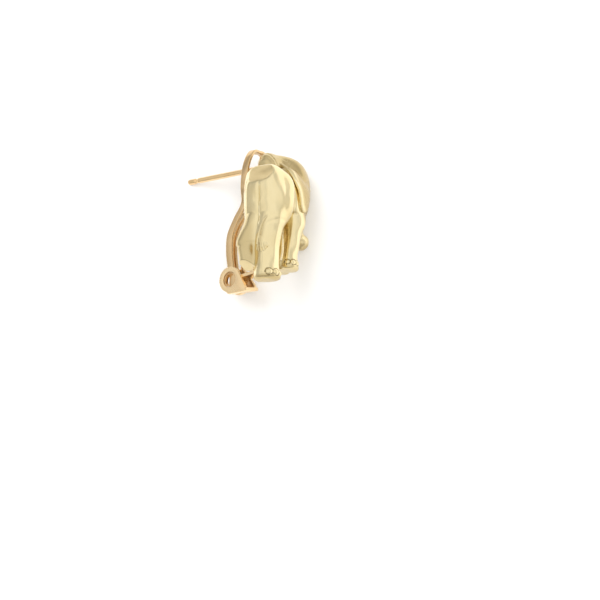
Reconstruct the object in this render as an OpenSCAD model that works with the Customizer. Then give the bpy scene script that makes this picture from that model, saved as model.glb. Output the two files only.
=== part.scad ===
// A cast elephant earring with a straight ear post and a hinged omega clip.
// It is drawn as it is worn: +X is the front, +Y is the side of the head, +Z is up,
// the back of the figure is ground flat at x = 0, and the post and clip stand at y = 0.
// lay_down() then turns the whole earring onto its side, as it lies on a table.

/* [Figure] */
// Thickness of the cast wall over the hollow back
wall = 1.0; // [0.8:0.1:1.3]
// Radius of the ball at the tip of the trunk
trunk_tip_r = 1.15; // [0.9:0.05:1.3]
// Thickness of the near ear
ear_thick = 0.7; // [0.5:0.1:0.9]

/* [Ear post] */
// Diameter of the post
post_d = 0.8; // [0.7:0.05:0.9]
// Distance from the figure's back to the tip of the post
post_reach = 13.8; // [11:0.1:13.8]
// Height of the post above the sole of the standing hind foot
post_z = 17.9; // [17:0.1:17.9]
// Distance from the tip of the post to its groove
groove_back = 1.7; // [1.2:0.1:2.5]
// Depth of the groove
groove_depth = 0.12; // [0.08:0.02:0.16]

/* [Hinge] */
// Height of the hinge axis above the sole of the standing hind foot
pivot_z = 2.1; // [2:0.05:2.2]
// Distance of the hinge axis behind the figure's back
pivot_back = 5.1; // [5:0.05:5.3]
// Radius of the round end of each hinge ear
ear_r = 1.85; // [1.7:0.05:1.9]
// Radius of the hole in each hinge ear
hole_r = 1.1; // [1.0:0.05:1.2]
// Thickness of the hinge strip
strip_t = 0.5; // [0.4:0.05:0.6]
// Clear width between the two ears
ear_gap = 1.7; // [1.6:0.1:2.2]
// Width of the bar that runs from the hinge to the front leg
bar_w = 1.8; // [1.8:0.1:2.2]

/* [Clip] */
// Width of the clip's flat wire, front to back
wire_w = 1.1; // [0.9:0.05:1.2]
// Thickness of the clip's flat wire
wire_t = 0.44; // [0.36:0.02:0.5]
// Play between each pivot stub and its hole, on the radius
pivot_play = 0.05; // [0.03:0.01:0.08]
// Wall of the ring at each end of the clip's wire
stub_wall = 0.15; // [0.12:0.01:0.3]

/* [Hidden] */
pale_gold = [0.86, 0.77, 0.48];
warm_gold = [0.90, 0.70, 0.40];

// Turns that lay the earring on the tip of its post, its head and its trunk, and the shift
// that puts the lowest points on the table and the middle of the whole over the origin
lay_spin = -89.79;
lay_tip = -20.95;
lay_shift = [3.253, -10.275, 5.128];

round_steps = 48;
solder_gap = 0.03;
post_r = post_d / 2;
pad_r = 1.1;
// Where the post's inner end and the hinge strip's end meet the figure
post_seat_x = 2.2;
bar_seat_x = 2.8;
bar_seat_z = 2.85;
// Back and front end of each hinge ear's foot, front end of the strip under them, and how much
// higher the strip's far side is
ear_foot_back = -5.4;
ear_foot_front = -2.3;
strip_front = -2.0;
strip_rise = 0.45;
// Back end of the bar, and the tab that stands up from the far ear
bar_start_x = -3.95;
bar_start_z = 2.15;
tab_x = -4.5;
tab_w = 0.6;
tab_top = 4.35;
// Distance of the tab's lower end over the hole
tab_over = 0.2;
// Front edge of each hinge ear: its height over the foot, and how far it leans forward
ear_edge = 0.7;
ear_lean = 0.05;
// Angles about the pivot at which each ear's straight edges meet its round end
ear_meet_front = 24;
ear_meet_back = 200;
// Solid pad on the front leg that the bar is soldered to: its depth, height and start below the bar
leg_pad = [1.2, 1.3];
leg_pad_below = 0.5;

ear_half = ear_thick / 2;

// Rows of a loft that is cut level: centre x, centre y, height, half width in x, half width in y, turn
standing_hind_leg = [
    [4.15, -4.30, 0.00, 1.60, 1.60, 0],
    [4.15, -4.30, 0.40, 1.88, 1.88, 0],
    [4.15, -4.30, 1.30, 1.80, 1.80, 0],
    [4.15, -4.28, 2.60, 1.66, 1.66, 0],
    [4.15, -4.20, 4.60, 1.68, 1.68, 0],
    [4.25, -4.05, 6.80, 1.78, 1.80, 0],
    [4.35, -3.65, 9.00, 2.00, 2.05, 0],
    [4.00, -3.10, 11.5, 1.90, 1.90, 0],
    [3.60, -2.60, 13.5, 1.00, 1.00, 0]];
lifted_hind_leg = [
    [1.30, -5.00, 1.90, 0.95, 1.00, 0],
    [1.30, -5.05, 2.35, 1.20, 1.25, 0],
    [1.25, -5.10, 3.40, 1.20, 1.25, 0],
    [1.20, -5.35, 4.60, 1.20, 1.25, 0],
    [1.25, -5.50, 5.60, 1.35, 1.30, 0],
    [1.50, -5.10, 7.00, 1.35, 1.35, 0],
    [1.90, -4.30, 8.60, 1.60, 1.60, 0],
    [2.40, -3.30, 11.0, 1.80, 1.80, 0],
    [2.80, -2.80, 13.0, 1.00, 1.00, 0]];
near_front_leg = [
    [4.20, 0.50, 2.30, 1.15, 1.20, 0],
    [4.20, 0.50, 2.65, 1.42, 1.45, 0],
    [4.20, 0.50, 3.50, 1.35, 1.38, 0],
    [4.15, 0.80, 5.00, 1.20, 1.20, 0],
    [4.05, 1.42, 7.50, 1.30, 1.35, 0],
    [3.90, 2.00, 9.50, 1.65, 1.75, 0],
    [3.50, 2.30, 11.5, 1.70, 1.80, 0],
    [3.20, 2.40, 13.5, 1.00, 1.00, 0]];
far_front_leg = [
    [1.50, 2.25, 2.60, 0.90, 0.95, 0],
    [1.50, 2.25, 3.00, 1.15, 1.20, 0],
    [1.50, 2.25, 4.00, 1.05, 1.10, 0],
    [1.60, 2.30, 6.50, 1.00, 1.05, 0],
    [1.80, 2.30, 9.00, 1.30, 1.40, 0],
    [2.00, 2.40, 11.5, 1.50, 1.60, 0]];
trunk = [
    [2.60, 5.25, 6.60, 0.40, 0.45, 0],
    [2.60, 5.10, 7.40, 0.95, 1.00, 0],
    [2.60, 4.70, 8.20, 1.00, 1.00, 0],
    [2.60, 4.20, 9.20, 1.05, 1.05, 0],
    [2.60, 3.95, 10.4, 1.20, 1.20, 0],
    [2.55, 4.10, 12.0, 1.40, 1.35, 0],
    [2.50, 4.40, 14.0, 1.80, 1.50, 0]];
tail = [
    [4.10, -5.75, 4.00, 0.15, 0.15, 0],
    [4.10, -5.80, 5.00, 0.56, 0.48, 0],
    [4.05, -5.80, 5.90, 0.58, 0.47, 0],
    [4.00, -5.70, 6.80, 0.36, 0.36, 0],
    [4.15, -5.45, 8.60, 0.40, 0.42, 0],
    [4.00, -5.25, 10.5, 0.40, 0.45, 0],
    [3.70, -4.95, 13.0, 0.40, 0.45, 0]];
near_ear = [
    [5.50, 2.30, 10.9, 0.6 * ear_half, 0.30, 12],
    [5.43, 2.51, 11.4, ear_half, 0.80, 12],
    [5.43, 2.62, 12.4, ear_half, 1.30, 12],
    [5.42, 2.57, 14.2, ear_half, 1.60, 12],
    [5.05, 2.06, 15.7, ear_half, 1.70, 14],
    [4.40, 1.60, 16.9, ear_half, 1.60, 16],
    [3.05, 1.25, 17.7, 0.9 * ear_half, 1.25, 20],
    [2.50, 1.00, 18.2, 0.4 * ear_half, 0.60, 20]];

// Rows of a loft that is cut across the length: y, centre x, centre height, half width, half height
body = [
    [-5.55, 3.30, 12.4, 1.40, 1.80],
    [-5.30, 3.25, 12.3, 2.30, 3.10],
    [-4.60, 3.22, 12.2, 2.98, 4.40],
    [-3.40, 2.50, 12.2, 4.10, 5.05],
    [-1.60, 1.90, 12.4, 5.00, 4.50],
    [0.60, 1.60, 13.3, 3.30, 4.30],
    [2.60, 2.00, 14.3, 2.30, 4.00],
    [4.20, 2.20, 14.8, 1.60, 3.20]];
head = [
    [-1.90, 1.40, 17.9, 0.90, 0.80],
    [-1.00, 1.33, 17.33, 1.55, 2.30],
    [0.60, 1.50, 16.5, 1.95, 3.20],
    [2.40, 2.30, 15.5, 2.95, 4.00],
    [4.20, 2.50, 15.0, 2.50, 3.95],
    [5.40, 2.40, 14.1, 1.80, 3.40],
    [6.00, 2.20, 13.4, 1.00, 2.20]];

// Feet with toenails: centre x, centre y, height of the nail row, radius of the foot, first nail angle
feet = [
    [4.15, -4.30, 0.95, 1.82, -43],
    [4.20, 0.50, 3.30, 1.38, -61],
    [1.50, 2.25, 3.35, 1.12, 30]];
nail_count = 4;
// Bulge of the body's rings: 2 is an oval, and more is squarer
body_square = 2.6;
nail_step = 38;
nail_r = 0.36;
trunk_tip = [2.6, 5.3, 7.6];

// Box that bounds the hollow inside the figure: its low corner and its size
hollow_low = [-1, -3.2, 9];
hollow_size = [7, 8.6, 9.6];
// Mouth of the hollow in the flat back: centre y and z, radius, stretch upwards, depth
mouth_y = 1.0;
mouth_z = 13.6;
mouth_r = 3.2;
mouth_stretch = 1.15;
mouth_depth = 2.6;
// Half the width of the post's hollow groove
groove_half = 0.35;
// How much thinner the post's root is in the figure, and how far its taper runs out behind the back
root_taper = 0.03;
root_over = 0.1;

// How far each pivot ring stays below the outer face of its hinge ear
stub_short = 0.15;

// Half of the clip's wire, from the pivot to the middle of the loop: x, y, z
clip_half = [
    [-pivot_back, 0.45, pivot_z - 0.9],
    [-pivot_back, 0.45, pivot_z + 0.3],
    [-5.50, 0.45, 4.2],
    [-5.75, 0.48, 6.4],
    [-5.55, 0.50, 8.8],
    [-4.35, 0.58, 11.0],
    [-2.70, 0.95, 13.0],
    [-1.75, 2.20, 14.7],
    [-1.45, 2.45, 16.2],
    [-1.35, 2.28, 17.8],
    [-1.20, 1.85, 19.2],
    [-1.10, 1.30, 20.05],
    [-1.10, 0.90, 20.3],
    [-1.10, 0.45, 20.35],
    [-1.10, 0.00, 20.3]];

// Curve through four values, from the second to the third
function curve(a, b, c, d, t) =
    0.5 * (2 * b + (c - a) * t + (2 * a - 5 * b + 4 * c - d) * t * t + (3 * b - a - 3 * c + d) * t * t * t);
// Row of a table at a place between two rows
function row_at(rows, s) =
    let (last = len(rows) - 1, i = min(floor(s), last - 1))
    curve(rows[max(i - 1, 0)], rows[i], rows[i + 1], rows[min(i + 2, last)], s - i);
function fill_rows(rows, steps) =
    [for (i = [0:(len(rows) - 1) * steps]) row_at(rows, i / steps)];

function level_ring(row, sides) =
    [for (i = [0:sides - 1])
        let (a = 360 * i / sides, p = row[3] * cos(a), q = row[4] * sin(a))
        [row[0] + p * cos(row[5]) - q * sin(row[5]), row[1] + p * sin(row[5]) + q * cos(row[5]), row[2]]];
// Sine or cosine of an angle, spread so that a ring of them bulges towards a square
function bulge(v, square) = sign(v) * pow(abs(v), 2 / square);
function cross_ring(row, sides, less, square) =
    [for (i = [0:sides - 1])
        let (a = 360 * i / sides)
        [row[1] + (row[3] - less) * bulge(sin(a), square), row[0],
         row[2] + (row[4] - less) * bulge(cos(a), square)]];

// Closed skin over a list of rings with equal numbers of points
module skin(rings) {
    n = len(rings[0]);
    m = len(rings);
    sides = [for (j = [0:m - 2], i = [0:n - 1])
        let (k = (i + 1) % n)
        each [[j * n + i, (j + 1) * n + i, (j + 1) * n + k], [j * n + i, (j + 1) * n + k, j * n + k]]];
    foot = [for (i = [1:n - 2]) [0, i, i + 1]];
    top = [for (i = [1:n - 2]) [(m - 1) * n, (m - 1) * n + i + 1, (m - 1) * n + i]];
    polyhedron([for (r = rings) each r], concat(sides, foot, top));
}

module level_loft(rows, sides, steps) {
    skin([for (r = fill_rows(rows, steps)) level_ring(r, sides)]);
}

module cross_loft(rows, sides, steps, square = 2, less = 0) {
    skin([for (r = fill_rows(rows, steps)) cross_ring(r, sides, less, square)]);
}

// Row of toenails round the front of a foot
module toenails(foot) {
    for (i = [0:nail_count - 1]) {
        translate([foot[0], foot[1], foot[2]]) rotate([0, 0, foot[4] + i * nail_step]) hull() {
            translate([foot[3], 0, -0.2]) sphere(r = nail_r, $fn = 12);
            translate([foot[3] - 0.12, 0, 0.2]) sphere(r = nail_r * 0.9, $fn = 12);
        }
    }
}

// Lays the earring, drawn as worn, on its side on the table
module lay_down() {
    translate(lay_shift) rotate([lay_spin, lay_tip, 0]) children();
}

module figure_skin() {
    cross_loft(body, 32, 3, body_square);
    cross_loft(head, 32, 3);
    level_loft(standing_hind_leg, 24, 2);
    level_loft(lifted_hind_leg, 24, 2);
    level_loft(near_front_leg, 24, 2);
    level_loft(far_front_leg, 20, 2);
    level_loft(trunk, 24, 2);
    level_loft(tail, 12, 2);
    level_loft(near_ear, 24, 2);
    translate(trunk_tip) sphere(r = trunk_tip_r, $fn = 24);
    for (f = feet) toenails(f);
}

// Space inside the cast figure, open at its back
module hollow() {
    intersection() {
        union() {
            cross_loft(body, 32, 3, body_square, wall);
            cross_loft(head, 32, 3, 2, wall);
        }
        translate(hollow_low) cube(hollow_size);
    }
}

// Mouth of the hollow in the figure's flat back
module hollow_mouth() {
    translate([-1, mouth_y, mouth_z]) rotate([0, 90, 0]) scale([mouth_stretch, 1, 1])
        cylinder(r = mouth_r, h = 1 + mouth_depth, $fn = 32);
}

// Solid pads inside the hollow and on the front leg, that the fittings are soldered to
module solder_pads() {
    intersection() {
        figure_skin();
        translate([post_seat_x, 0, post_z]) rotate([0, 90, 0]) cylinder(r = pad_r, h = 4, $fn = round_steps);
    }
    translate([bar_seat_x, -bar_w / 2, bar_seat_z - leg_pad_below]) cube([leg_pad[0], bar_w, leg_pad[1]]);
}

// Hole through the wall for the post
module post_bore() {
    translate([-1, 0, post_z]) rotate([0, 90, 0])
        cylinder(r = post_r + solder_gap, h = 1 + post_seat_x, $fn = round_steps);
}

module elephant() {
    color(pale_gold) lay_down() difference() {
        union() {
            difference() {
                figure_skin();
                hollow();
                hollow_mouth();
            }
            solder_pads();
        }
        post_bore();
        translate([-5, -10, -5]) cube([5, 25, 35]);
    }
}

module ear_post() {
    tip = post_reach + post_seat_x - solder_gap;
    groove = tip - groove_back;
    color(warm_gold) lay_down() translate([post_seat_x - solder_gap, 0, post_z]) rotate([0, -90, 0])
        rotate_extrude($fn = round_steps) polygon([
            [0, 0], [post_r - root_taper, 0], [post_r, post_seat_x - solder_gap + root_over],
            for (t = [-1:0.5:1]) [post_r - groove_depth * (1 - t * t), groove + groove_half * t],
            for (a = [0:15:90]) [post_r * cos(a), tip - post_r + post_r * sin(a)]]);
}

// One ear of the hinge, between y and y + strip_t, whose foot stands at a height
module hinge_ear(y, foot) {
    translate([0, y + strip_t, 0]) rotate([90, 0, 0]) linear_extrude(strip_t) polygon([
        [ear_foot_back, foot], [ear_foot_front, foot], [ear_foot_front + ear_lean, foot + ear_edge],
        [-pivot_back + ear_r * cos(ear_meet_front), pivot_z + ear_r * sin(ear_meet_front)],
        [-pivot_back, pivot_z],
        [-pivot_back + ear_r * cos(ear_meet_back), pivot_z + ear_r * sin(ear_meet_back)]]);
    translate([-pivot_back, y + strip_t, pivot_z]) rotate([90, 0, 0])
        cylinder(r = ear_r, h = strip_t, $fn = round_steps);
}

// Tab that stands up from the far ear beside the clip
module stop_tab(y) {
    bottom = pivot_z + hole_r + tab_over;
    translate([tab_x - tab_w / 2, y, bottom]) cube([tab_w, strip_t, tab_top - bottom]);
}

module hinge_bracket() {
    half = ear_gap / 2;
    out = half + strip_t;
    color(warm_gold) lay_down() difference() {
        union() {
            // Strip under the ears, higher on the far side
            translate([ear_foot_back, 0, 0]) rotate([90, 0, 90]) linear_extrude(strip_front - ear_foot_back)
                polygon([[-out, 0], [out, strip_rise], [out, strip_rise + strip_t], [-out, strip_t]]);
            hinge_ear(half, strip_rise);
            hinge_ear(-out, 0);
            stop_tab(half);
            // Bar between the ears, that rises to the front leg
            translate([0, bar_w / 2, 0]) rotate([90, 0, 0]) linear_extrude(bar_w) polygon([
                [bar_start_x, bar_start_z], [bar_seat_x - solder_gap, bar_seat_z],
                [bar_seat_x - solder_gap, bar_seat_z + strip_t], [bar_start_x, bar_start_z + strip_t]]);
        }
        translate([-pivot_back, out + 1, pivot_z]) rotate([90, 0, 0])
            cylinder(r = hole_r, h = 2 * out + 2, $fn = round_steps);
    }
}

// Flat wire of the clip: a level rectangle carried along the rows from one pivot round to the other
module clip_wire() {
    half = fill_rows(clip_half, 4);
    n = len(half);
    path = concat(half, [for (i = [n - 2:-1:0]) [half[i][0], -half[i][1], half[i][2]]]);
    m = len(path);
    rings = [for (i = [0:m - 1])
        let (d = path[min(i + 1, m - 1)] - path[max(i - 1, 0)],
             l = norm([d[1], d[2]]),
             side = [0, -d[2] / l, d[1] / l] * wire_t / 2,
             front = [wire_w / 2, 0, 0])
        [path[i] - front - side, path[i] - front + side, path[i] + front + side, path[i] + front - side]];
    skin(rings);
}

// Ring of wire at one end of the clip, which turns in the hole of a hinge ear
module pivot_stub(side) {
    inner = clip_half[0][1];
    length = ear_gap / 2 + strip_t - inner - stub_short;
    translate([-pivot_back, side > 0 ? inner + length : -inner, pivot_z]) rotate([90, 0, 0]) difference() {
        cylinder(r = hole_r - pivot_play, h = length, $fn = round_steps);
        translate([0, 0, -1]) cylinder(r = hole_r - pivot_play - stub_wall, h = length + 2, $fn = round_steps);
    }
}

module omega_clip() {
    color(warm_gold) lay_down() union() {
        clip_wire();
        pivot_stub(1);
        pivot_stub(-1);
    }
}

elephant();
ear_post();
hinge_bracket();
omega_clip();
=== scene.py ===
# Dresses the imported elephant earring, which lies on its side on a pale table.
import bpy
import numpy as np
from mathutils import Matrix


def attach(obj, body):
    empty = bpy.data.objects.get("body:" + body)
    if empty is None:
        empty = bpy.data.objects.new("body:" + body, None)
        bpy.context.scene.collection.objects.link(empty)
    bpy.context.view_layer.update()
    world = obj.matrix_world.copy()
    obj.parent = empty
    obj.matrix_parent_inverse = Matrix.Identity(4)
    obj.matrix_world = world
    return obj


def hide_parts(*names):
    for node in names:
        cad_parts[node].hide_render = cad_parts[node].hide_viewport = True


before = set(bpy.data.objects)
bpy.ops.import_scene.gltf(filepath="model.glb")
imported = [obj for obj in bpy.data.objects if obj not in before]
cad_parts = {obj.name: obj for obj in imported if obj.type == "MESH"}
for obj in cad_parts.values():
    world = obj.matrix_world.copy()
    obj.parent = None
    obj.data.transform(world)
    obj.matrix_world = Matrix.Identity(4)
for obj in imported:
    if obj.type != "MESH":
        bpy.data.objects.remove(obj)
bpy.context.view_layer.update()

# The cast figure
# A small elephant cast in pale yellow gold by the lost-wax way, hollow behind and ground flat
# at the back, then polished. Its limbs flow into the body, so its skin is the level surface of
# blended lofts, which grids alone can't give.


def fill(rows, steps=24):
    """Rows of a short table, filled in: each column is a Catmull-Rom curve through its values."""
    rows = np.array(rows, float)
    ends = np.vstack([rows[:1], rows, rows[-1:]])
    t = np.linspace(0, 1, steps, endpoint=False)[:, None]
    a, b, c, d = ends[:-3, None], ends[1:-2, None], ends[2:-1, None], ends[3:, None]
    out = 0.5 * (2 * b + (c - a) * t + (2 * a - 5 * b + 4 * c - d) * t ** 2
                 + (3 * b - a - 3 * c + d) * t ** 3)
    return np.vstack([out.reshape(-1, rows.shape[1]), rows[-1:]])


def round_max(a, b, r):
    """Greater of two fields, with the crease between them rounded over about r."""
    h = np.clip(0.5 + 0.5 * (a - b) / r, 0, 1)
    return b + (a - b) * h + r * h * (1 - h)


def round_min(a, b, r):
    """Lesser of two fields, with the crease between them filled over about r."""
    return -round_max(-a, -b, r)


def oval(u, v, half_u, half_v, square=2.0):
    """Distance to an oval, nearly: k - 1 over the length of k's slope, where k, the sum of the
    shares of the half widths to the power square, rooted, is 1 on the oval."""
    a, b = np.abs(u) / half_u + 1e-6, np.abs(v) / half_v + 1e-6
    k = (a ** square + b ** square) ** (1 / square)
    steep = np.hypot(a ** (square - 1) / half_u, b ** (square - 1) / half_v) * k ** (1 - square)
    return (k - 1) / np.maximum(steep, 0.3 / np.maximum(half_u, half_v))


def limb(p, rows, rim=0.25):
    """Loft of level ovals. Rows: centre x, centre y, height, half x, half y, turn in degrees."""
    table = fill(rows)
    z = np.clip(p[:, 2], table[0, 2], table[-1, 2])
    x, y, a, b, turn = (np.interp(z, table[:, 2], table[:, i]) for i in (0, 1, 3, 4, 5))
    turn = np.radians(turn)
    u = (p[:, 0] - x) * np.cos(turn) + (p[:, 1] - y) * np.sin(turn)
    v = (p[:, 1] - y) * np.cos(turn) - (p[:, 0] - x) * np.sin(turn)
    side = oval(u, v, a, b)
    return round_max(side, np.maximum(table[0, 2] - p[:, 2], p[:, 2] - table[-1, 2]), rim)


def barrel(p, rows, less=0.0, rim=0.25, square=2.0):
    """Loft of upright ovals. Rows: y, centre x, centre height, half width, half height."""
    table = fill(rows)
    y = np.clip(p[:, 1], table[0, 0], table[-1, 0])
    x, z, a, b = (np.interp(y, table[:, 0], table[:, i]) for i in (1, 2, 3, 4))
    side = oval(p[:, 0] - x, p[:, 2] - z, np.maximum(a - less, 0.05), np.maximum(b - less, 0.05), square)
    ends = np.maximum(table[0, 0] + less - p[:, 1], p[:, 1] - table[-1, 0] + less)
    return round_max(side, ends, rim)


def ball(p, centre, radius, stretch=(1, 1, 1)):
    """Distance to a ball, or to one stretched along the axes."""
    return (np.linalg.norm((p - np.array(centre)) / np.array(stretch), axis=1) - radius) * min(stretch)


body_rows = [
    (-5.55, 3.30, 12.4, 1.40, 1.80),
    (-5.30, 3.25, 12.3, 2.30, 3.10),
    (-4.60, 3.22, 12.2, 2.98, 4.40),
    (-3.40, 2.50, 12.2, 4.10, 5.05),
    (-1.60, 1.90, 12.4, 5.00, 4.50),
    (0.60, 1.60, 13.3, 3.30, 4.30),
    (2.60, 2.00, 14.3, 2.30, 4.00),
    (4.20, 2.20, 14.8, 1.60, 3.20)]
head_rows = [
    (-1.90, 1.40, 17.9, 0.90, 0.80),
    (-1.00, 1.33, 17.33, 1.55, 2.30),
    (0.60, 1.50, 16.5, 1.95, 3.20),
    (2.40, 2.30, 15.5, 2.95, 4.00),
    (4.20, 2.50, 15.0, 2.50, 3.95),
    (5.40, 2.40, 14.1, 1.80, 3.40),
    (6.00, 2.20, 13.4, 1.00, 2.20)]
standing_hind_leg = [
    (4.15, -4.30, 0.00, 1.60, 1.60, 0),
    (4.15, -4.30, 0.40, 1.88, 1.88, 0),
    (4.15, -4.30, 1.30, 1.80, 1.80, 0),
    (4.15, -4.28, 2.60, 1.66, 1.66, 0),
    (4.15, -4.20, 4.60, 1.68, 1.68, 0),
    (4.25, -4.05, 6.80, 1.78, 1.80, 0),
    (4.35, -3.65, 9.00, 2.00, 2.05, 0),
    (4.00, -3.10, 11.5, 1.90, 1.90, 0),
    (3.60, -2.60, 13.5, 1.00, 1.00, 0)]
lifted_hind_leg = [
    (1.30, -5.00, 1.90, 1.15, 1.20, 0), (1.30, -5.05, 2.35, 1.20, 1.25, 0),
    (1.25, -5.10, 3.40, 1.20, 1.25, 0), (1.20, -5.35, 4.60, 1.20, 1.25, 0),
    (1.25, -5.50, 5.60, 1.35, 1.30, 0), (1.50, -5.10, 7.00, 1.35, 1.35, 0),
    (1.90, -4.30, 8.60, 1.60, 1.60, 0), (2.40, -3.30, 11.0, 1.80, 1.80, 0),
    (2.80, -2.80, 13.0, 1.00, 1.00, 0)]
near_front_leg = [
    (4.20, 0.50, 2.30, 1.35, 1.40, 0), (4.20, 0.50, 2.65, 1.42, 1.45, 0),
    (4.20, 0.50, 3.50, 1.35, 1.38, 0), (4.15, 0.80, 5.00, 1.20, 1.20, 0),
    (4.05, 1.42, 7.50, 1.30, 1.35, 0), (3.90, 2.00, 9.50, 1.65, 1.75, 0),
    (3.50, 2.30, 11.5, 1.70, 1.80, 0), (3.20, 2.40, 13.5, 1.00, 1.00, 0)]
far_front_leg = [
    (1.50, 2.25, 2.60, 1.10, 1.15, 0), (1.50, 2.25, 3.00, 1.15, 1.20, 0),
    (1.50, 2.25, 4.00, 1.05, 1.10, 0), (1.60, 2.30, 6.50, 1.00, 1.05, 0),
    (1.80, 2.30, 9.00, 1.30, 1.40, 0), (2.00, 2.40, 11.5, 1.50, 1.60, 0)]
trunk_rows = [
    (2.60, 5.25, 6.60, 0.40, 0.45, 0),
    (2.60, 5.10, 7.40, 0.95, 1.00, 0),
    (2.60, 4.70, 8.20, 1.00, 1.00, 0),
    (2.60, 4.20, 9.20, 1.05, 1.05, 0),
    (2.60, 3.95, 10.4, 1.20, 1.20, 0),
    (2.55, 4.10, 12.0, 1.40, 1.35, 0),
    (2.50, 4.40, 14.0, 1.80, 1.50, 0)]
tail_rows = [
    (3.62, -5.93, 5.00, 0.12, 0.14, 0),
    (3.75, -5.93, 5.80, 0.20, 0.20, 0),
    (4.05, -5.90, 6.80, 0.20, 0.22, 0),
    (4.35, -5.80, 7.80, 0.20, 0.22, 0),
    (4.85, -5.62, 8.70, 0.20, 0.20, 0),
    (5.15, -5.48, 9.10, 0.12, 0.14, 0)]
# Filling behind the ear, which makes the gap under its rim a shallow channel
behind_ear = [
    (4.90, 1.30, 10.6, 0.30, 0.50, 0), (4.85, 1.30, 11.5, 0.55, 0.95, 0), (4.75, 1.35, 14.0, 0.60, 1.05, 0),
    (4.40, 1.00, 15.7, 0.60, 1.00, 0), (3.60, 0.60, 17.2, 0.50, 0.90, 0)]
ear_half = 0.35
ear_rows = [
    (5.50, 2.30, 10.9, 0.6 * ear_half, 0.30, 12),
    (5.43, 2.51, 11.4, ear_half, 0.80, 12),
    (5.43, 2.62, 12.4, ear_half, 1.30, 12),
    (5.42, 2.57, 14.2, ear_half, 1.60, 12),
    (5.05, 2.06, 15.7, ear_half, 1.70, 14),
    (4.40, 1.60, 16.9, ear_half, 1.60, 16),
    (3.05, 1.25, 17.7, 0.9 * ear_half, 1.25, 20),
    (2.50, 1.00, 18.2, 0.4 * ear_half, 0.60, 20)]
# Feet with toenails: centre x, centre y, height of the nails, radius of the foot, first nail's angle
feet = [(4.15, -4.30, 0.95, 1.82, -43), (4.20, 0.50, 3.30, 1.38, -61), (1.50, 2.25, 3.35, 1.12, 30)]
nail_count, nail_step = 4, 38
body_square = 2.6
wall = 1.0
trunk_ball, trunk_ball_r = (2.6, 5.3, 7.6), 1.15
eye, eye_r = (4.42, 4.8, 14.7), 0.26
# Planes that cut the top of the rump and the sole of the lifted foot: slope in y and z, and a point in each
rump_slope, rump_at = (-0.836, 0.548), (-5.5, 14.3)
sole_slope, sole_at = (-0.55, -0.83), (-6.3, 3.1)
# Hollow inside the casting: its low and high corner in y and z, and its mouth in the flat back
hollow_low, hollow_high = (-3.2, 9.0), (5.4, 18.6)
mouth_y, mouth_z, mouth_r, mouth_stretch, mouth_depth = 1.0, 13.6, 3.2, 1.15, 2.6
# Seats of the fittings: the pad and bore of the post, and the pad of the hinge's bar
post_z, pad_r, bore_r, bore_end = 17.9, 1.1, 0.43, 2.2
bar_pad, bar_pad_half = (3.4, 0.0, 3.0), (0.6, 0.9, 0.65)

# Rolled rim of the ear, from over the neck down to the ear's lower tip
ear_rim = [
    (2.45, 0.30, 18.15), (3.30, 0.10, 17.75), (4.30, 0.03, 17.05), (5.05, 0.20, 16.10),
    (5.45, 0.50, 15.10), (5.72, 0.98, 14.00), (5.72, 1.32, 12.90), (5.66, 1.55, 12.00),
    (5.56, 1.90, 11.20)]
# Hairs of the tail: each row is where a hair leaves the tail and where it ends
tail_hairs = [(3.95, -5.88, 6.3, 3.55, -5.86, 4.3), (4.05, -5.90, 6.3, 3.95, -5.93, 4.1),
              (4.15, -5.90, 6.2, 4.35, -5.92, 4.0), (4.25, -5.88, 6.2, 4.70, -5.83, 4.1),
              (4.35, -5.84, 6.1, 5.00, -5.68, 4.3), (4.45, -5.80, 6.0, 5.25, -5.50, 4.6)]


def strand(p, path, radius):
    """Distance to a round strand along a path, found only for the points that lie near it."""
    path = np.array(path, float)
    out = np.full(len(p), 9.0)
    near = np.all((p > path.min(0) - 1.2) & (p < path.max(0) + 1.2), axis=1)
    q, best = p[near], np.full(near.sum(), 9.0)
    for a, b in zip(path[:-1], path[1:]):
        d = b - a
        t = np.clip((q - a) @ d / (d @ d), 0, 1)
        best = np.minimum(best, np.linalg.norm(q - a - t[:, None] * d, axis=1))
    out[near] = best - radius
    return out


def nails(p):
    """Stretched balls round the front of each foot, a nail's angle apart."""
    out = np.full(len(p), 9.0)
    for x, y, z, r, first in feet:
        size = 0.24 * r + 0.14
        for i in range(nail_count):
            a = np.radians(first + i * nail_step)
            centre = (x + (r - 0.36) * np.cos(a), y + (r - 0.36) * np.sin(a), z)
            out = np.minimum(out, ball(p, centre, size, (1, 1, 0.95)))
    return out


def step_at(value, soft):
    """Rises smoothly from 0 to 1 as a value passes 0."""
    return 1 / (1 + np.exp(-np.clip(value / soft, -30, 30)))


def ridge(value, width):
    """A smooth bump of height 1 where a value is 0."""
    return np.exp(-(value / width) ** 2)


def hollows(p):
    """Depths pressed into the skin: the cleft of the rump, the hock's and the knee's folds, the eye's
    socket, wrinkles of the neck, and slow waves that the polishing leaves."""
    x, y, z = p.T
    rump = step_at(-3 - y, 0.1)
    cleft = 0.20 * ridge(x - 3.45, 0.24) * step_at(14.1 - z, 0.12) * step_at(z - 8.6, 0.4) * rump
    hock = 0.12 * ridge(z - 5.0 - 0.25 * (x - 0.3), 0.2) * rump * step_at(2.4 - x, 0.2)
    knee = 0.05 * ridge(z - 7.6 - 0.5 * (x - 4.3), 0.25) * rump * step_at(x - 5.2, 0.2)
    socket = 0.12 * np.exp(-((y - 4.75) ** 2 + (z - 14.7) ** 2) / 0.16) * (x > 3)
    neck = 0.05 * np.cos(9 * (y + 0.35 * z)) * ridge(y + 1.1, 0.7) * step_at(z - 16.4, 0.3)
    wave = 0.025 * (np.sin(1.9 * x + 0.8 * z + 1.1 * np.sin(1.3 * y)) + np.sin(1.4 * z + 1.7 * y)
                    + np.sin(2.3 * y - 1.1 * x + 0.9 * np.sin(1.1 * z)))
    return cleft + hock + knee + socket + neck + wave


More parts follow.
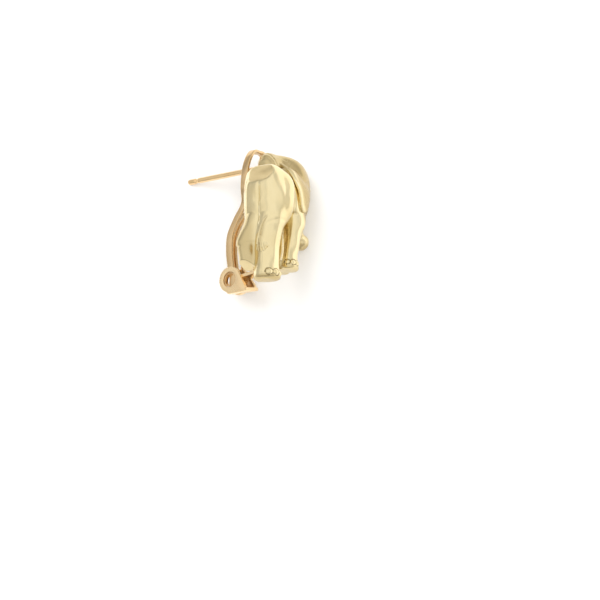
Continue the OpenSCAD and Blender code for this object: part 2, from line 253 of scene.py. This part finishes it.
def outer_skin(p):
    """Lofts of the body, head, legs, trunk, tail and ear, blended: each joint is filled over its own
    radius. A plane cuts the top of the rump flat and another the sole of the lifted foot."""
    rump_top = (p[:, 1:] - rump_at) @ rump_slope
    trunk_body = round_max(barrel(p, body_rows, rim=0.8, square=body_square), rump_top, 0.15)
    f = round_min(trunk_body, barrel(p, head_rows, rim=0.5), 0.25)
    sole = (p[:, 1:] - sole_at) @ sole_slope
    f = round_min(f, round_max(limb(p, lifted_hind_leg), sole, 0.15), 0.8)
    for rows, fillet in ((standing_hind_leg, 1.0), (near_front_leg, 0.35), (far_front_leg, 0.35)):
        f = round_min(f, limb(p, rows, 0.5), fillet)
    trunk = limb(p, trunk_rows) + 0.035 * np.cos(2 * np.pi * p[:, 2] / 0.62) * (p[:, 2] < 11)
    f = round_min(f, trunk, 0.5)
    f = round_min(f, ball(p, (2.5, 3.1, 11.2), 0.75, (1.3, 1.1, 0.9)), 0.3)
    f = round_min(f, limb(p, behind_ear, 0.3), 0.35)
    f = f + hollows(p)
    f = round_min(f, ball(p, eye, eye_r), 0.02)
    f = round_min(f, ball(p, trunk_ball, trunk_ball_r), 0.2)
    f = round_min(f, limb(p, tail_rows, 0.1), 0.06)
    for hair in tail_hairs:
        f = round_min(f, strand(p, [hair[:3], hair[3:]], 0.13), 0.03)
    f = round_min(f, limb(p, ear_rows, 0.15), 0.2)
    f = round_min(f, strand(p, fill(ear_rim, 3), 0.19), 0.15)
    nail = nails(p)
    return np.minimum(round_max(f, 0.055 - np.abs(nail), 0.05), nail)


def figure(p):
    """The outer skin, less the hollow and its mouth, the bore for the post and all behind the flat back."""
    f = outer_skin(p)
    hollow = round_min(barrel(p, body_rows, wall, square=body_square), barrel(p, head_rows, wall), 0.5)
    box = np.max(np.hstack([hollow_low - p[:, 1:], p[:, 1:] - hollow_high]), axis=1)
    hollow = round_max(hollow, box, 0.4)
    mouth = oval(p[:, 2] - mouth_z, p[:, 1] - mouth_y, mouth_r * mouth_stretch, mouth_r)
    mouth = np.maximum(mouth, p[:, 0] - mouth_depth)
    f = round_max(f, -round_min(hollow, mouth, 0.3), 0.12)
    from_post = np.hypot(p[:, 1], p[:, 2] - post_z)
    pad = np.maximum(from_post - pad_r, bore_end - p[:, 0])
    f = round_min(f, np.maximum(pad, outer_skin(p)), 0.15)
    seat = np.max(np.abs((p - bar_pad) / np.array(bar_pad_half)) - 1, axis=1) * min(bar_pad_half)
    f = round_min(f, seat, 0.1)
    bore = np.maximum(from_post - bore_r, p[:, 0] - bore_end)
    return round_max(round_max(f, -bore, 0.05), -p[:, 0], 0.08)


def slope(field, p, h=0.02):
    """Slope of a field at points, by differences over h each way."""
    steps = np.eye(3) * h
    return np.stack([(field(p + s) - field(p - s)) / (2 * h) for s in steps], axis=1)


def level_surface(field, low, high, step):
    """Surface where the field is 0: a vertex in each cell of a grid that the surface crosses, at the
    mean of the crossings of its edges, a face round each crossed edge, and then each vertex
    pulled along the slope onto the surface."""
    axes = [np.arange(a, b + step, step) for a, b in zip(low, high)]
    shape = tuple(len(a) for a in axes)
    points = np.stack(np.meshgrid(*axes, indexing="ij"), axis=-1).reshape(-1, 3)
    f = field(points).reshape(shape)
    inside = f < 0
    cells = tuple(n - 1 for n in shape)
    total, count = np.zeros(cells + (3,)), np.zeros(cells)
    faces = []
    for axis in range(3):
        a = [slice(None)] * 3
        b = [slice(None)] * 3
        a[axis], b[axis] = slice(0, -1), slice(1, None)
        fa, fb = f[tuple(a)], f[tuple(b)]
        cross = (fa < 0) != (fb < 0)
        part = np.where(cross, fa / np.where(fa == fb, 1, fa - fb), 0)
        u, v = [i for i in range(3) if i != axis]
        for du in (0, 1):
            for dv in (0, 1):
                pick = [slice(None)] * 3
                pick[u] = slice(du, du + cells[u])
                pick[v] = slice(dv, dv + cells[v])
                c, t = cross[tuple(pick)], part[tuple(pick)]
                total[..., axis] += np.where(c, t, 0)
                total[..., u] += np.where(c, du, 0)
                total[..., v] += np.where(c, dv, 0)
                count += c
    used = count > 0
    number = np.full(cells, -1)
    number[used] = np.arange(used.sum())
    corner = np.stack(np.nonzero(used), axis=1)
    verts = np.array(low) + step * (corner + total[used] / count[used][:, None])
    for axis in range(3):
        a = [slice(None)] * 3
        b = [slice(None)] * 3
        a[axis], b[axis] = slice(0, -1), slice(1, None)
        cross = inside[tuple(a)] != inside[tuple(b)]
        at = np.stack(np.nonzero(cross), axis=1)
        u, v = (axis + 1) % 3, (axis + 2) % 3
        at = at[(at[:, u] > 0) & (at[:, v] > 0)]
        ring = []
        for du, dv in ((-1, -1), (0, -1), (0, 0), (-1, 0)):
            q = at.copy()
            q[:, u] += du
            q[:, v] += dv
            ring.append(number[q[:, 0], q[:, 1], q[:, 2]])
        ring = np.stack(ring, axis=1)
        leaving = inside[at[:, 0], at[:, 1], at[:, 2]]
        ring[~leaving] = ring[~leaving][:, ::-1]
        faces.append(ring)
    faces = np.vstack(faces)
    for _ in range(3):
        here = field(verts)
        g = np.stack([field(verts + s) - here for s in np.eye(3) * 0.02], axis=1) / 0.02
        move = here[:, None] * g / np.maximum((g ** 2).sum(1), 0.2)[:, None]
        size = np.linalg.norm(move, axis=1)[:, None]
        verts = verts - move * np.minimum(1, 0.5 * step / np.maximum(size, 1e-9))
    return verts, faces


# The turns that lay the earring on its post's tip, its head and its trunk, and the shift to the origin
spin, tip_over = np.radians(-89.79), np.radians(-20.95)
spun = np.array([[1, 0, 0], [0, np.cos(spin), -np.sin(spin)], [0, np.sin(spin), np.cos(spin)]])
tipped = np.array([[np.cos(tip_over), 0, np.sin(tip_over)], [0, 1, 0],
                   [-np.sin(tip_over), 0, np.cos(tip_over)]])
laid = tipped @ spun
shift = np.array([3.253, -10.275, 5.128])


def lay_down(p):
    """Point as worn, in millimetres, to where it lies on the table, in metres."""
    return (np.asarray(p) @ laid.T + shift) / 1000


def add_mesh(name, verts, faces, material, normals=None):
    """Mesh object from arrays of worn points in millimetres and of faces."""
    mesh = bpy.data.meshes.new(name)
    sizes = np.full(len(faces), faces.shape[1])
    mesh.vertices.add(len(verts))
    mesh.vertices.foreach_set("co", lay_down(verts).astype(np.float32).ravel())
    mesh.loops.add(faces.size)
    mesh.loops.foreach_set("vertex_index", faces.astype(np.int32).ravel())
    mesh.polygons.add(len(faces))
    mesh.polygons.foreach_set("loop_start", (np.cumsum(sizes) - sizes).astype(np.int32))
    mesh.update(calc_edges=True)
    mesh.polygons.foreach_set("use_smooth", np.ones(len(faces), bool))
    if normals is not None:
        turned = normals @ laid.T
        mesh.normals_split_custom_set_from_vertices(turned.tolist())
    mesh.materials.append(material)
    piece = bpy.data.objects.new(name, mesh)
    bpy.context.scene.collection.objects.link(piece)
    return piece


class Wire:
    """A shader socket that does arithmetic: each operator adds a Math node."""

    def __init__(self, tree, socket):
        self.tree, self.socket = tree, socket

    def math(self, operation, *values):
        node = self.tree.nodes.new("ShaderNodeMath")
        node.operation = operation
        for slot, value in zip(node.inputs, values):
            if isinstance(value, Wire):
                self.tree.links.new(value.socket, slot)
            else:
                slot.default_value = value
        return Wire(self.tree, node.outputs[0])

    def __add__(self, other):
        return self.math("ADD", self, other)

    def __radd__(self, other):
        return self.math("ADD", other, self)

    def __sub__(self, other):
        return self.math("SUBTRACT", self, other)

    def __rsub__(self, other):
        return self.math("SUBTRACT", other, self)

    def __mul__(self, other):
        return self.math("MULTIPLY", self, other)

    def __rmul__(self, other):
        return self.math("MULTIPLY", other, self)

    def clamp(self, low=0.0, high=1.0):
        return self.math("MINIMUM", self.math("MAXIMUM", self, low), high)


def add_node(tree, kind, settings=None, out=0, **values):
    """Node of a type, with its settings first and then the values or links of its sockets."""
    node = tree.nodes.new(kind)
    for key, value in (settings or {}).items():
        setattr(node, key, value)
    for key, value in values.items():
        slot = node.inputs[key.replace("_", " ")]
        if isinstance(value, Wire):
            tree.links.new(value.socket, slot)
        else:
            slot.default_value = value
    return Wire(tree, node.outputs[out])


def gold(name, tone, deep, shine, scratch, grain=(1, 1, 1), satin_and_painted_shade=None):
    """Polished gold: two tones in slow patches, roughness in patches, and fine polishing lines as a
    bump. Where the mesh has the attribute whose name is given last, it is less polished by it, and its
    colour is darkened by it as painted shade."""
    material = bpy.data.materials.new(name)
    material.use_nodes = True
    tree = material.node_tree
    shader = tree.nodes["Principled BSDF"]
    shader.inputs["Metallic"].default_value = 1.0
    place = add_node(tree, "ShaderNodeTexCoord", out=3)
    patches = add_node(tree, "ShaderNodeTexNoise", Vector=place, Scale=260.0, Detail=3.0)
    drawn = add_node(tree, "ShaderNodeMapping", Vector=place, Scale=grain)
    lines = add_node(tree, "ShaderNodeTexNoise", Vector=drawn, Scale=5200.0, Detail=4.0, Roughness=0.65)
    mix = tree.nodes.new("ShaderNodeMix")
    mix.data_type = "RGBA"
    mix.inputs["A"].default_value = (*tone, 1)
    mix.inputs["B"].default_value = (*deep, 1)
    tree.links.new(((patches - 0.35) * 2.2).clamp().socket, mix.inputs["Factor"])
    rough = patches * 0.10 + lines * 0.08 + (shine - 0.09)
    colour = mix.outputs["Result"]
    if satin_and_painted_shade:
        satin_and_shade_amount = add_node(tree, "ShaderNodeAttribute", {"attribute_name": satin_and_painted_shade}, out=2)
        rough = rough + satin_and_shade_amount * 0.12
        # Painted shade: the same attribute darkens the colour towards a deeper tone
        painted_shade = tree.nodes.new("ShaderNodeMix")
        painted_shade.data_type = "RGBA"
        tree.links.new(satin_and_shade_amount.socket, painted_shade.inputs["Factor"])
        tree.links.new(colour, painted_shade.inputs["A"])
        painted_shade.inputs["B"].default_value = (*(np.array(deep) * (0.64, 0.6, 0.54)), 1)
        colour = painted_shade.outputs["Result"]
    tree.links.new(colour, shader.inputs["Base Color"])
    rough = rough.clamp(0.03, 0.6)
    tree.links.new(rough.socket, shader.inputs["Roughness"])
    bump = add_node(tree, "ShaderNodeBump", Height=lines, Strength=scratch, Distance=0.00001)
    tree.links.new(bump.socket, shader.inputs["Normal"])
    return material


figure_gold = gold("figure_gold", (0.92, 0.79, 0.48), (0.86, 0.71, 0.39), 0.16, 0.15, (1, 0.35, 1), "satin_and_painted_shade")

verts, faces = level_surface(figure, (-0.3, -7.2, -0.3), (7.2, 6.9, 20.9), 0.12)
facing = slope(figure, verts)
facing /= np.linalg.norm(facing, axis=1)[:, None]
casting = add_mesh("elephant_casting", verts, faces, figure_gold, facing)
# Painted shade, from 0 to 1, where the gold is also less polished: the colour is darkened where shade
# and dark reflections fall, on the crown and the ear's face, the flat top of the rump, the lifted leg, the
# soles, the belly, and a band down the standing leg
x, y, z = verts.T
crown = step_at(z - 16.2 - 0.25 * (y + 1), 0.35) * step_at(y + 2.2, 0.3) * 0.84
rim_y = np.interp(z, [row[2] for row in ear_rim[::-1]], [row[1] for row in ear_rim[::-1]])
ear_face = step_at(y - rim_y - 0.45, 0.12) * step_at(z - 9.6, 0.4) * step_at(x - 3.2, 0.3)
flat_top = step_at(facing[:, 1:] @ rump_slope - 0.985, 0.006) * (z > 13)
lifted = step_at(2.75 - x, 0.15) * step_at(9.5 - z, 0.8) * step_at(-3.5 - y, 0.2) * 0.65
soles = step_at(0.6 - z, 0.1) + step_at(2.95 - z, 0.1) * step_at(y + 1.5, 0.1) * 0.6
belly = step_at(-facing[:, 2] - 0.3, 0.1) * step_at(z - 5, 0.3) * step_at(11.5 - z, 0.3) * 0.9
leg_shade_band_ends = step_at(8.4 - z, 0.5) * step_at(z - 1.3, 0.2) * step_at(-4.9 - y, 0.2)
leg_shade_band = ridge(x - 3.5 - 0.18 * (z - 2), 0.32) * leg_shade_band_ends * 0.6
satin_and_painted_shade = np.clip(np.max([crown + flat_top, ear_face, lifted, soles, belly, leg_shade_band], axis=0), 0, 1)
satin_values = casting.data.attributes.new("satin_and_painted_shade", "FLOAT", "POINT").data
satin_values.foreach_set("value", satin_and_painted_shade.astype(np.float32))
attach(casting, "earring")
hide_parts("elephant")

# The ear post
# A straight wire of warm yellow gold, turned with a groove near its rounded tip, that is
# soldered into the figure's wall.
post_gold = gold("post_gold", (0.94, 0.69, 0.39), (0.89, 0.61, 0.31), 0.22, 0.22, (1, 1, 0.3))
post_r, post_in, tip_x = 0.4, 2.17, -13.8
groove_back, groove_depth, groove_half = 1.7, 0.12, 0.36


def turned_on(start, axis, across, profile, sides=40):
    """Profile turned round an axis: rows are distance along it and radius, and columns are the angle."""
    start, axis, across = (np.array(v, float) for v in (start, axis, across))
    third = np.cross(axis, across)
    profile = np.array(profile, float)
    angle = np.linspace(0, 2 * np.pi, sides, endpoint=False)
    spokes = np.cos(angle)[:, None] * across + np.sin(angle)[:, None] * third
    along, radius = profile[:, 0, None, None], profile[:, 1, None, None]
    return (start + along * axis + radius * spokes[None]).reshape(-1, 3)


def grid_faces(rows, sides, close=False):
    """Faces of a grid whose columns close round, outwards for rows that run along their axis."""
    i, j = np.meshgrid(np.arange(rows if close else rows - 1), np.arange(sides), indexing="ij")
    k, m = (j + 1) % sides, (i + 1) % rows
    return np.stack([i * sides + j, i * sides + k, m * sides + k, m * sides + j], axis=-1).reshape(-1, 4)


def add_turned(name, start, axis, across, profile, material, sides=40):
    """Turned solid with its two ends closed by a profile that starts and ends on the axis."""
    points = turned_on(start, axis, across, profile, sides)
    return add_mesh(name, points, grid_faces(len(profile), sides), material)


length = post_in - tip_x
groove = length - groove_back
quarter = np.linspace(0, np.pi / 2, 12)
bead = [(length - post_r + post_r * np.sin(t), max(post_r * np.cos(t), 0.001)) for t in quarter]
across_groove = np.linspace(-groove_half, groove_half, 17)
dip = groove_depth / 2 * (1 + np.cos(np.pi * across_groove / groove_half))
post_profile = ([(0, 0.001), (0, 0.35), (0.05, post_r)]
                + [(s, post_r) for s in np.linspace(0.5, groove - 0.45, 14)]
                + [(groove + t, post_r - d) for t, d in zip(across_groove, dip)]
                + [(groove + 0.45, post_r)] + bead)
post = add_turned("polished_ear_post", (post_in, 0, post_z), (-1, 0, 0), (0, 1, 0), post_profile, post_gold)
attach(post, "earring")
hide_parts("ear_post")

# The hinge bracket
# A strip of sheet gold bent up into two rounded ears with a hole through each, and a narrow
# bar that rises from it to the near front leg, where it is soldered.
hinge_gold = gold("hinge_gold", (1.0, 0.77, 0.46), (0.97, 0.72, 0.41), 0.28, 0.25)
pivot = np.array([-5.1, 0, 2.1])
ear_r, hole_r, strip_t, ear_gap, bar_w = 1.85, 1.1, 0.5, 1.7, 1.8
strip_rise, strip_back, strip_front = 0.45, -5.4, -2.0


def soft_box(half_a, half_b, r, per=5):
    """Outline of a rectangle with rounded corners, as pairs, counter-clockwise."""
    t = np.linspace(0, np.pi / 2, per)
    corners = []
    for q, (sa, sb) in enumerate(((1, 1), (-1, 1), (-1, -1), (1, -1))):
        a = t + q * np.pi / 2
        first, second = sa * (half_a - r) + r * np.cos(a), sb * (half_b - r) + r * np.sin(a)
        corners.append(np.stack([first, second], axis=1))
    return np.vstack(corners)


def swept(path, side, up, outline):
    """Outline carried along a path: its first number runs along side, its second along up."""
    path, side, up = (np.asarray(v, float) for v in (path, side, up))
    side, up = np.broadcast_to(side, path.shape), np.broadcast_to(up, path.shape)
    a, b = outline[None, :, 0, None], outline[None, :, 1, None]
    return path[:, None] + a * side[:, None] + b * up[:, None]


def capped(rings):
    """Rings with a closing ring at each end drawn in to the middle, so that the ends are closed."""
    first, last = rings[:1], rings[-1:]
    mid_a, mid_b = first.mean(1, keepdims=True), last.mean(1, keepdims=True)
    return np.concatenate([mid_a + (first - mid_a) * 1e-3, mid_a + (first - mid_a) * 0.96, rings,
                           mid_b + (last - mid_b) * 0.96, mid_b + (last - mid_b) * 1e-3])


def ear_plate(y, foot):
    """Hinge ear between y and y + strip_t, with its foot at a height: a rounded section carried
    round between the hole and the outline, which is a circle joined to a slanted foot."""
    n = 120
    a = np.linspace(0, 2 * np.pi, n, endpoint=False)
    ray = np.stack([np.cos(a), np.sin(a)], axis=1)
    at = pivot[[0, 2]]
    corners = np.array([(strip_back, foot), (-2.3, foot), (-2.25, foot + 0.7),
                        at + ear_r * np.array([np.cos(np.radians(24)), np.sin(np.radians(24))]),
                        at + ear_r * np.array([np.cos(np.radians(200)), np.sin(np.radians(200))])])
    reach = np.full(n, ear_r)
    for p, q in zip(corners, np.roll(corners, -1, axis=0)):
        d, w = q - p, p - at
        cross = ray[:, 0] * d[1] - ray[:, 1] * d[0]
        cross = np.where(np.abs(cross) < 1e-9, 1e-9, cross)
        t = (w[0] * d[1] - w[1] * d[0]) / cross
        s = (w[0] * ray[:, 1] - w[1] * ray[:, 0]) / cross
        reach = np.where((t > 0) & (s >= 0) & (s <= 1), np.maximum(reach, t), reach)
    r = 0.07
    c = np.linspace(0, np.pi / 2, 5)
    rows = ([(0, r * (1 - np.cos(t)), strip_t - r * (1 - np.sin(t))) for t in c]
            + [(1, -r * (1 - np.sin(t)), strip_t - r * (1 - np.cos(t))) for t in c]
            + [(1, -r * (1 - np.cos(t)), r * (1 - np.sin(t))) for t in c]
            + [(0, r * (1 - np.sin(t)), r * (1 - np.cos(t))) for t in c])
    rings = []
    for outer, inset, depth in rows:
        dist = np.where(outer, reach, hole_r) + inset
        round_hole = at + dist[:, None] * ray
        rings.append(np.stack([round_hole[:, 0], np.full(n, y + depth), round_hole[:, 1]], axis=1))
    return np.stack(rings)


def add_rings(name, rings, material, close=False):
    """Mesh from rings of points, closed round, and from last ring to first where close is set."""
    return add_mesh(name, rings.reshape(-1, 3), grid_faces(rings.shape[0], rings.shape[1], close), material)


def join(name, pieces):
    """One object from several, with its faces turned outwards."""
    bpy.ops.object.select_all(action="DESELECT")
    for p in pieces:
        p.select_set(True)
    bpy.context.view_layer.objects.active = pieces[0]
    bpy.ops.object.join()
    pieces[0].name = pieces[0].data.name = name
    bpy.ops.object.mode_set(mode="EDIT")
    bpy.ops.mesh.select_all(action="SELECT")
    bpy.ops.mesh.remove_doubles(threshold=1e-8)
    bpy.ops.mesh.normals_make_consistent(inside=False)
    bpy.ops.object.mode_set(mode="OBJECT")
    return pieces[0]


half_gap = ear_gap / 2
out = half_gap + strip_t
lean = np.array([0, 2 * out, strip_rise]) / np.hypot(2 * out, strip_rise)
over = np.cross((1, 0, 0), lean)
mid = strip_rise / 2 + strip_t / 2
strip_path = [(x, 0, mid) for x in (strip_back, strip_back + 0.06, -3, strip_front - 0.06, strip_front)]
strip_section = soft_box(np.hypot(out, strip_rise / 2) - 0.02, strip_t / 2, 0.16)
strip_rings = capped(swept(strip_path, lean, over, strip_section))
bar_path = fill([(-3.95, 0, 2.42), (-3.0, 0, 2.46), (-0.5, 0, 2.76), (2.0, 0, 3.05), (2.77, 0, 3.1)], 8)
bar_way = np.gradient(bar_path, axis=0)
bar_way /= np.linalg.norm(bar_way, axis=1)[:, None]
bar_section = soft_box(bar_w / 2, strip_t / 2, 0.1)
bar_rings = capped(swept(bar_path, (0, 1, 0), np.cross(bar_way, (0, 1, 0)), bar_section))
tab_rings = capped(swept([(-4.5, half_gap + strip_t / 2, z) for z in (3.2, 3.6, 4.0, 4.29, 4.35)],
                         (1, 0, 0), (0, 1, 0), soft_box(0.3, strip_t / 2, 0.1)))
hinge = join("bent_hinge_bracket", [
    add_rings("ear_a", ear_plate(half_gap, strip_rise), hinge_gold, True),
    add_rings("ear_b", ear_plate(-out, 0), hinge_gold, True),
    add_rings("strip", strip_rings, hinge_gold), add_rings("bar", bar_rings, hinge_gold),
    add_rings("tab", tab_rings, hinge_gold)])
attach(hinge, "earring")
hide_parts("hinge_bracket")

# The omega clip
# Flat springy wire of warm gold bent into a loop that passes round the post. Its two ends run side
# by side down to the hinge, and each is joined to a ring that turns in the hole of a hinge ear.
wire_gold = gold("wire_gold", (0.80, 0.58, 0.33), (0.66, 0.45, 0.22), 0.2, 0.22, (1, 1, 0.3))
wire_w, wire_t, stub_r, stub_bore, stub_start, stub_short = 1.1, 0.44, 1.05, 0.9, 0.45, 0.15
clip_rows = [
    (-5.1, 0.45, 1.2), (-5.1, 0.45, 2.4), (-5.5, 0.45, 4.2), (-5.75, 0.48, 6.4), (-5.55, 0.50, 8.8),
    (-4.35, 0.58, 11.0), (-2.70, 0.95, 13.0), (-1.75, 2.20, 14.7), (-1.45, 2.45, 16.2), (-1.35, 2.28, 17.8),
    (-1.20, 1.85, 19.2), (-1.10, 1.30, 20.05), (-1.10, 0.90, 20.3), (-1.10, 0.45, 20.35),
    (-1.10, 0.00, 20.3)]
half = fill(clip_rows, 8)
way = np.vstack([half, half[-2::-1] * (1, -1, 1)])
run = np.gradient(way, axis=0)
flat = run[:, 1:] / np.linalg.norm(run[:, 1:], axis=1)[:, None]
inward = np.stack([np.zeros(len(way)), -flat[:, 1], flat[:, 0]], axis=1)
wire_rings = capped(swept(way, (1, 0, 0), inward, soft_box(wire_w / 2, wire_t / 2, 0.12)))


def stub_rings(y0, y1):
    """Tube about the pivot between y0 and y1: a rounded section carried round."""
    a = np.linspace(0, 2 * np.pi, 64, endpoint=False)
    mid, half_wall = (stub_r + stub_bore) / 2, (stub_r - stub_bore) / 2
    section = soft_box(half_wall, (y1 - y0) / 2, 0.05)
    r = mid + section[:, 0]
    depth = np.broadcast_to((y0 + y1) / 2 + section[:, 1], (len(a), len(r)))
    return np.stack([pivot[0] + r * np.cos(a)[:, None], depth, pivot[2] + r * np.sin(a)[:, None]], axis=-1)


reach = out - stub_short
clip = join("omega_clip_wire", [
    add_rings("wire", wire_rings, wire_gold),
    add_rings("stub_a", stub_rings(stub_start, reach), wire_gold, True),
    add_rings("stub_b", stub_rings(-reach, -stub_start), wire_gold, True)])
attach(clip, "clip")
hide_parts("omega_clip")

# The table, the light and the camera
# A plain white table under soft studio light, with the camera where the photograph's was:
# above the earring, looking down its rump.
table_size, table_white = 0.7, 0.90
half_table = table_size / 2
table_mesh = bpy.data.meshes.new("table")
table_mesh.from_pydata([(-half_table, -half_table, 0), (half_table, -half_table, 0),
                        (half_table, half_table, 0), (-half_table, half_table, 0)], [], [(0, 1, 2, 3)])
table = bpy.data.objects.new("table", table_mesh)
bpy.context.scene.collection.objects.link(table)
table_paint = bpy.data.materials.new("table")
table_paint.use_nodes = True
table_paint.node_tree.nodes["Principled BSDF"].inputs["Base Color"].default_value = (*[table_white] * 3, 1)
table_paint.node_tree.nodes["Principled BSDF"].inputs["Roughness"].default_value = 0.6
table_mesh.materials.append(table_paint)


def soft_light(name, place, aim, size, watts, colour=(1, 1, 1)):
    """Square area light at a place, facing a point."""
    light = bpy.data.lights.new(name, "AREA")
    light.shape, light.size, light.energy, light.color = "SQUARE", size, watts, colour
    lamp = bpy.data.objects.new(name, light)
    back = np.array(place, float) - np.array(aim, float)
    back /= np.linalg.norm(back)
    across = np.cross((0, 1, 0), back)
    across /= np.linalg.norm(across)
    turn = np.stack([across, np.cross(back, across), back], axis=1)
    lamp.matrix_world = Matrix([[*turn[i], place[i]] for i in range(3)] + [[0, 0, 0, 1]])
    bpy.context.scene.collection.objects.link(lamp)
    return lamp


key = soft_light("key", (-0.15, 0.25, 0.5), (0, 0, 0), 0.45, 1.5)
fill_in = soft_light("fill", (0.3, -0.2, 0.5), (0, 0, 0), 0.5, 1.6)
for lamp in (key, fill_in):
    lamp.visible_glossy = False
# A white tent of loosely hung cloth: brightest overhead, with slow folds in it
world = bpy.data.worlds.new("studio")
world.use_nodes = True
tree = world.node_tree
way_in = add_node(tree, "ShaderNodeTexCoord", out=0)
parts = tree.nodes.new("ShaderNodeSeparateXYZ")
tree.links.new(way_in.socket, parts.inputs[0])
east, north, height = (Wire(tree, parts.outputs[i]) for i in range(3))
folds = add_node(tree, "ShaderNodeTexNoise", Vector=way_in, Scale=2.6, Detail=2.0)
lift = add_node(tree, "ShaderNodeMapRange", {"interpolation_type": "SMOOTHSTEP"}, Value=height,
                From_Min=0.25, From_Max=0.88, To_Min=0.60, To_Max=1.05)
bright = (lift + east.clamp() * 0.22 + north * 0.10 + (folds - 0.5)).clamp(0.36, 1.0)
mix = tree.nodes.new("ShaderNodeMix")
mix.data_type = "RGBA"
mix.inputs["A"].default_value = (0, 0, 0, 1)
mix.inputs["B"].default_value = (1.0, 0.99, 0.97, 1)
tree.links.new(bright.socket, mix.inputs["Factor"])
tree.links.new(mix.outputs["Result"], tree.nodes["Background"].inputs["Color"])
tree.nodes["Background"].inputs["Strength"].default_value = 0.98
bpy.context.scene.world = world
bpy.context.scene.view_settings.view_transform = "Standard"

# The camera's right, up and back, worked out for the earring as worn, and the point it looks at
right = laid @ np.array([0.786, 0.618, 0.0])
back = laid @ np.array([0.6025, -0.7657, -0.225])
right /= np.linalg.norm(right)
back -= right * (right @ back)
back /= np.linalg.norm(back)
up = np.cross(back, right)
aim = lay_down([0, 8.43, 0.125])
lens_mm, film_mm, field_m = 300.0, 36.0, 0.0857
place = aim + back * field_m * lens_mm / film_mm
camera_data = bpy.data.cameras.new("camera")
camera_data.lens, camera_data.sensor_width = lens_mm, film_mm
camera_data.clip_start, camera_data.clip_end = 0.01, 10
camera = bpy.data.objects.new("camera", camera_data)
camera.matrix_world = Matrix([[right[i], up[i], back[i], place[i]] for i in range(3)] + [[0, 0, 0, 1]])
bpy.context.scene.collection.objects.link(camera)
bpy.context.scene.camera = camera
